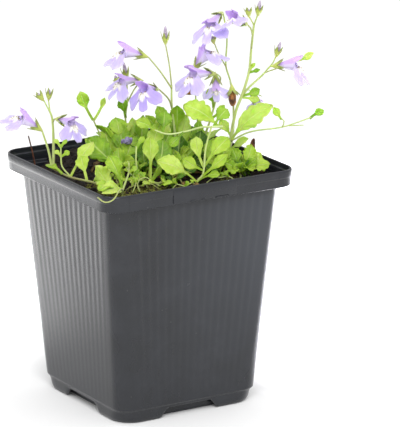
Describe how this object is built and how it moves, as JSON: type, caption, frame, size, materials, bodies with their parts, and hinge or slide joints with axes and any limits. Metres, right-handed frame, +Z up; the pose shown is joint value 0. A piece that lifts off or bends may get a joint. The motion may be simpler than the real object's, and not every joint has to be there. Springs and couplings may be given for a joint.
{
  "type": "potted creeping mazus",
  "caption": "Creeping mazus in a square black nursery pot of soil: leafy shoots with toothed leaves, two-lipped lilac flowers and buds on slender stalks.",
  "frame": {"origin": "middle of the pot's underside, on the surface that the pot stands on", "axes": "+Z up; the pot's sides lie along X and Y, and the side with the raised plate on its rim faces -Y"},
  "size_m": [0.122, 0.0908, 0.1662],
  "materials": {
    "pot_plastic": "satin black, lightly scuffed injection moulding",
    "potting_soil": "dull, lumpy, damp",
    "bark": "dull, fibrous",
    "foliage": "satin, soft sheen",
    "petals": "soft, velvety",
    "withered_petals": "dull, papery"
  },
  "bodies": {
    "root": {"pot": "pot_plastic", "soil": "potting_soil", "bark_sliver": "bark", "dry_stalk": "bark", "shoot_left_runner": "foliage", "shoot_near_corner": "foliage", "shoot_left_crown": "foliage", "shoot_left_sprig": "foliage", "shoot_middle_left": "foliage", "shoot_centre": "foliage", "shoot_front": "foliage", "shoot_arching": "foliage", "shoot_tall": "foliage", "shoot_back_stalks": "foliage", "shoot_centre_stalks": "foliage", "rosette_right": "foliage", "rosette_back_left": "foliage", "rosette_back": "foliage", "rosette_back_right": "foliage", "corolla_left": "petals", "corolla_left_rim": "petals", "corolla_left_top": "petals", "corolla_middle_back": "petals", "corolla_middle": "petals", "corolla_centre": "petals", "corolla_centre_right": "petals", "corolla_upright": "petals", "corolla_top_left": "petals", "corolla_top": "petals", "corolla_right": "petals", "corolla_right_low": "petals", "withered_hanging": "withered_petals", "withered_on_leaf": "withered_petals", "withered_centre": "withered_petals"}
  },
  "joints": []
}
